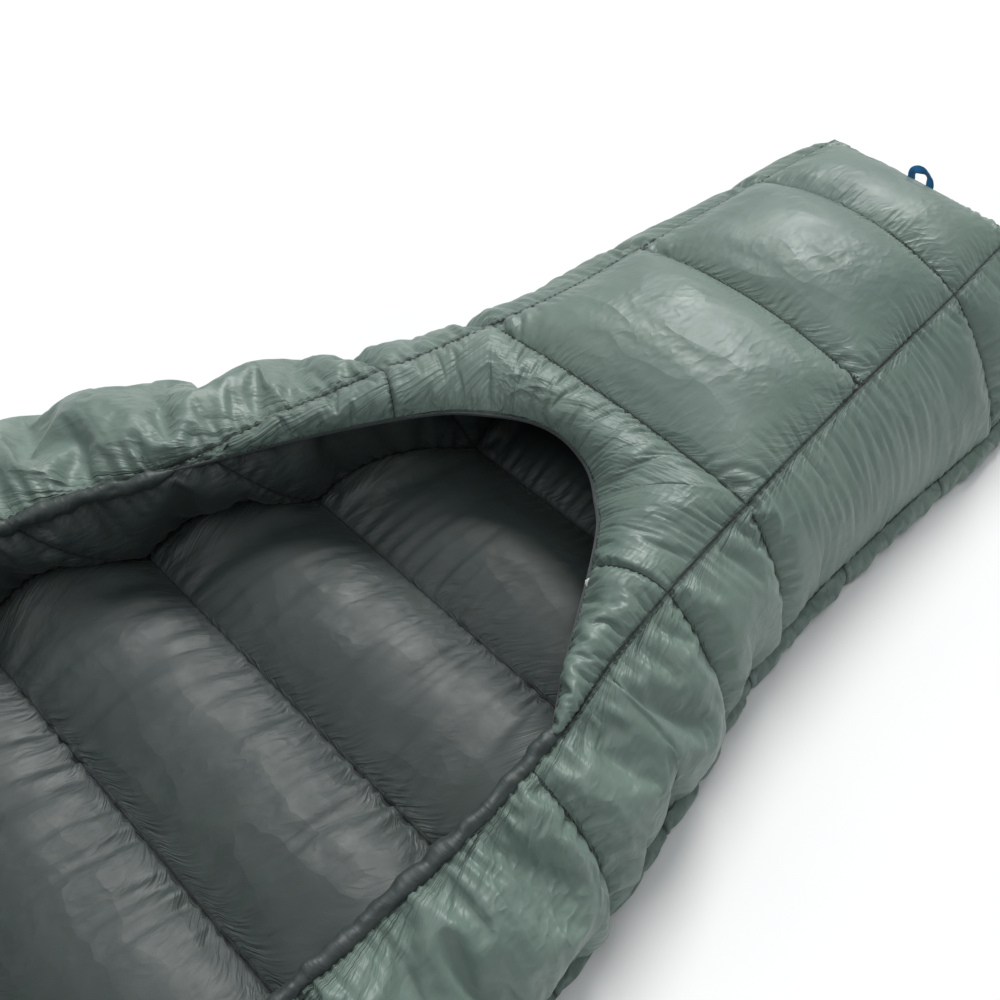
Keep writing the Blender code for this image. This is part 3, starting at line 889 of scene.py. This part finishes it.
def make_foot_end():
    """The panel that shuts the footbox at its end."""
    far_top, near_top = seam_top(FAR, 0.0), seam_top(NEAR, 0.0)
    t = np.linspace(0, 1, END_ROWS)[:, None]
    top = far_top * (1 - t) + near_top * t
    top[:, 2] += float(ARCH_RISE(0.0)) * 4 * t[:, 0] * (1 - t[:, 0])
    low = seam_low(FAR, 0.0) * (1 - t) + seam_low(NEAR, 0.0) * t
    skins = []
    for way, bulge, slot in END_BULGES:
        base = ruled(top, low, END_COLUMNS, 0.0, way)
        edge = np.sin(np.pi * t) * np.sin(np.pi * np.linspace(0, 1, END_COLUMNS))[None]
        base = base + outward(base, way) * (bulge * edge)[..., None]
        held = sewn(base)
        grid = inflate(base, held, way, ease=(0.04, 0.04), gather=0.1, push=2.4e-5, cap=0.02)
        skins.append((grid, held, way, slot))
    piece = make_piece("foot_end", skins, [SHELL, SHADED_LINING])
    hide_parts("foot_end_shell", "foot_end_fill", "foot_end_lining")
    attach(piece, "quilt_body")


# The rolled edge of each flap and the snap on its end

ROLL = 0.0085
ROLL_ROWS, ROLL_SIDES = 560, 24
ROLL_IN, ROLL_DOWN = ROLL * 0.5, ROLL * 0.2     # from the wall's top seam to the roll's middle
ROLL_TAPER = 0.03
SNAP_THICK = 0.003
SNAP_GAP = 0.0005


def make_rim_roll(side):
    """The narrow stuffed edge of each flap, from the horn's tip to the head end."""
    name = SIDES[side]
    places = np.linspace(TIP[side] - TIP_MARGIN, LENGTH, ROLL_ROWS)
    path = seam_top(side, places) - (side * ROLL_IN, 0, ROLL_DOWN)
    start = np.minimum(1, (places - places[0]) / ROLL_TAPER + 0.2)
    wrinkles = mottle((len(places), ROLL_SIDES + 1), 6, 0.65, 1.25)
    wrinkles *= 0.8 + 0.2 * mottle((len(places), ROLL_SIDES + 1), 3, 0.4, 1.6)
    wrinkles[:, -1] = wrinkles[:, 0]
    radius = ROLL * start[:, None] * wrinkles
    turn = math.pi * 1.25 if side == NEAR else -math.pi * 0.25
    roll = tube(f"{name}_rim_roll", path, radius[..., None], SHADED_LINING, ROLL_SIDES, turn, seam=True)
    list(fold_span())
    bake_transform(roll)


BINDING = 0.0045            # radius of the tape folded over the floor's head end
BINDING_OUT = 0.0008


def make_neck_binding():
    """The tape that closes the head end of the floor."""
    far, near = seam_low(FAR, LENGTH), seam_low(NEAR, LENGTH)
    t = np.linspace(0, 1, 200)[:, None]
    path = far * (1 - t) + near * t
    path[:, 1] -= BINDING_OUT
    binding = tube("head_binding", path, BINDING, TAPE, sides=12)
    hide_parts("neck_binding")
    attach(binding, "quilt_body")


# Flat tapes. The section's corners are in halves of its width and thickness.

BAND = ((-1, -1), (-.9, 1), (-.4, 1.15), (.4, 1.15), (.9, 1), (1, -1), (.4, -1.15), (-.4, -1.15), (-1, -1))
BAND_THICK = 0.0012


def make_band(name, path, across, width, thick, material):
    """A flat tape along a path, with its width along given directions."""
    path, across = np.asarray(path, float), np.asarray(across, float)
    run = np.gradient(path, axis=0)
    run /= np.linalg.norm(run, axis=-1, keepdims=True)
    across = across - run * (across * run).sum(-1, keepdims=True)
    across /= np.linalg.norm(across, axis=-1, keepdims=True)
    normal = np.cross(run, across)
    ring = np.stack([path + across * (a * width / 2) + normal * (b * thick / 2) for a, b in BAND], 1)
    ends = [np.repeat(path[i][None, None], len(BAND), 1) for i in (0, -1)]
    grid = np.concatenate([ends[0], ring, ends[1]])
    return make_piece(name, [(grid, np.zeros(grid.shape[:2], bool), None, 0)], [material])


LOOP_RISE = 0.018
LOOP_SUNK = 0.002           # how deep its feet stand in the cloth
LOOP_SHIFT = 0.005          # sideways from its CAD node
LOOP_TAPE = 0.0095          # width of the tape
LOOP_FACE = (0.5, -0.5, 0.7)
LOOP_LEAN = 0.004
LOOP_SWAY = 0.002
LOOP_TWIST, LOOP_UNTWIST = 85, 70   # degrees that the tape turns past its crown, and back at its foot


def make_hang_loop(cloth):
    """A blue tape sewn on the top's end: its far leg lies flat to the viewer, its near leg twists."""
    t = np.linspace(0, 1, 97)
    half = (LOOP_HIGH.x - LOOP_LOW.x) / 2 - 0.003
    hinge = (LOOP_LOW.y + LOOP_HIGH.y) / 2
    away = np.hypot(cloth[..., 0] - CENTRE, cloth[..., 1] - hinge)
    foot = float(cloth[..., 2].flat[away.argmin()]) - LOOP_SUNK
    x = CENTRE + LOOP_SHIFT - half * np.cos(np.pi * t) - LOOP_LEAN * np.sin(np.pi * t)
    z = foot + LOOP_RISE * np.sin(np.pi * t) ** 0.7
    y = hinge - LOOP_SWAY * np.sin(2 * np.pi * t)
    path = np.stack([x, y, z], -1)
    turn = np.radians(LOOP_TWIST) * np.clip((t - 0.38) / 0.3, 0, 1)
    turn -= np.radians(LOOP_UNTWIST) * np.clip((t - 0.80) / 0.2, 0, 1)
    run = np.gradient(path, axis=0)
    run /= np.linalg.norm(run, axis=-1, keepdims=True)
    face = np.array(LOOP_FACE) / np.linalg.norm(LOOP_FACE)
    flat = np.cross(run, face)
    flat /= np.linalg.norm(flat, axis=-1, keepdims=True)
    across = flat * np.cos(turn)[:, None] + np.cross(run, flat) * np.sin(turn)[:, None]
    band = make_band("hang_loop_band", path, across, LOOP_TAPE, BAND_THICK, LOOP_BLUE)
    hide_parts("hang_loop")
    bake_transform(band)


TAB_STATIONS = (0.90, 0.94)     # along the collar
TAB_ROWS = 9
TAB_WIDTH = 0.005
TAB_RISE = 0.003


def make_rim_tab():
    """The pale end of a tape in the rim, where the near horn starts."""
    path = rim_line(np.linspace(*TAB_STATIONS, TAB_ROWS))
    path[:, 2] += TAB_RISE * np.sin(np.linspace(0, np.pi, TAB_ROWS))
    across = np.tile((0.5, 0.1, 0.85), (TAB_ROWS, 1))
    tab = make_band("rim_tape_end", path, across, TAB_WIDTH, BAND_THICK, PALE)
    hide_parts("rim_tab")
    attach(tab, "quilt_body")


def make_snap(side):
    """A round snap on the end of a flap's rim roll."""
    name = SIDES[side]
    low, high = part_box(f"{name}_neck_snap")
    radius = (high.z - low.z) / 2
    middle = seam_top(side, LENGTH) - (side * ROLL_IN, 0, ROLL_DOWN)
    t, turn = np.linspace(0, 1, 13)[:, None], np.linspace(0, 2 * math.pi, 33)[None]
    out = radius * np.sin(np.minimum(1, t * 1.6) * math.pi / 2) * np.where(t < 1, 1, 0)
    rise = SNAP_THICK * (0.75 + 0.25 * np.cos(3 * math.pi * t)) * np.sin(np.pi * np.minimum(1, 1.3 - t))
    x = middle[0] + out * np.cos(turn)
    z = middle[2] + out * np.sin(turn)
    grid = np.stack([x, middle[1] - SNAP_GAP - rise + 0 * x, z], -1)
    snap = make_piece(f"{name}_snap", [(grid, np.zeros(grid.shape[:2], bool), (0, -1, 0), 0)], [SNAP])
    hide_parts(f"{name}_neck_snap")
    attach(snap, f"{name}_flap")


# Floor, sky, lamps and camera. Azimuths run from 0, which looks along +Y.

CAMERA_AZIMUTH, CAMERA_ELEVATION = 46.51, 48.31
CAMERA_AWAY = 1.341
LOOK = (-0.0378, 0.6753, 0.100)     # what the camera looks at: across, place, height
FOCAL = 1.2789                      # focal length over the sensor's width
SENSOR = 36
FLOOR_SIZE = 60
SKY = 0.28
LAMPS_AWAY = 4.0
LAMPS = (                           # name, azimuth, elevation, softness, strength
    ("key_lamp", 212, 45, 26, 2.75),
    ("head_lamp", 25, 68, 40, 0.66),
    ("near_lamp", 75, 30, 40, 0.12),
    ("far_lamp", 275, 50, 44, 0.30),
)


def make_stage():
    """Floor, sky, lamps and camera."""
    bpy.ops.mesh.primitive_plane_add(size=FLOOR_SIZE)
    floor = bpy.context.object
    floor.name = "studio_floor"
    nodes = Nodes("studio_floor")
    place = nodes.add("TexCoord").outputs["Object"]
    speck = nodes.noise(place, 3.0)
    nodes.put(nodes.shader.inputs["Base Color"], nodes.ramp(speck, (0.3, grey(0.86)), (0.7, grey(0.88))))
    nodes.shader.inputs["Roughness"].default_value = 0.9
    floor.data.materials.append(nodes.material)

    world_shader = bpy.data.worlds.new("studio")
    world_shader.use_nodes = True
    tree = world_shader.node_tree
    tree.nodes["Background"].inputs["Color"].default_value = (0.94, 0.97, 1.0, 1)
    backdrop = tree.nodes.new("ShaderNodeBackground")
    backdrop.inputs["Color"].default_value = (1, 1, 1, 1)
    chosen = tree.nodes.new("ShaderNodeMixShader")
    seen = tree.nodes.new("ShaderNodeLightPath")
    tree.nodes["Background"].inputs["Strength"].default_value = SKY
    tree.links.new(seen.outputs["Is Camera Ray"], chosen.inputs["Fac"])
    tree.links.new(tree.nodes["Background"].outputs[0], chosen.inputs[1])
    tree.links.new(backdrop.outputs[0], chosen.inputs[2])
    tree.links.new(chosen.outputs[0], tree.nodes["World Output"].inputs["Surface"])
    bpy.context.scene.world = world_shader
    middle = world(0.0, 0.6, 0.1)
    for name, azimuth, elevation, softness, strength in LAMPS:
        lamp = bpy.data.lights.new(name, "SUN")
        lamp.angle = math.radians(softness)
        lamp.energy = strength
        piece = bpy.data.objects.new(name, lamp)
        piece.location = middle + LAMPS_AWAY * back_of(azimuth, elevation)
        aim(piece, middle)
        bpy.context.scene.collection.objects.link(piece)

    target = world(*LOOK)
    lens = bpy.data.cameras.new("camera")
    lens.lens = SENSOR * FOCAL
    lens.sensor_width = SENSOR
    camera = bpy.data.objects.new("camera", lens)
    camera.location = target + CAMERA_AWAY * back_of(CAMERA_AZIMUTH, CAMERA_ELEVATION)
    aim(camera, target)
    bpy.context.scene.collection.objects.link(camera)
    bpy.context.scene.camera = camera
    bpy.context.scene.view_settings.view_transform = "Standard"


def back_of(azimuth, elevation):
    """The direction from what is looked at to the eye."""
    a, e = math.radians(azimuth), math.radians(elevation)
    return np.array([math.sin(a) * math.cos(e), -math.cos(a) * math.cos(e), math.sin(e)])


def aim(piece, target):
    """Turns a lamp or the camera towards a point."""
    way = mathutils.Vector(target) - piece.location
    piece.rotation_euler = way.to_track_quat("-Z", "Y").to_euler()


make_stage()
top_cloth = make_top()
make_collar()
for quilt_side in SIDES:
    make_side(quilt_side)
    make_rim_roll(quilt_side)
    make_snap(quilt_side)
make_floor()
make_foot_end()
make_neck_binding()
make_hang_loop(top_cloth)
make_rim_tab()
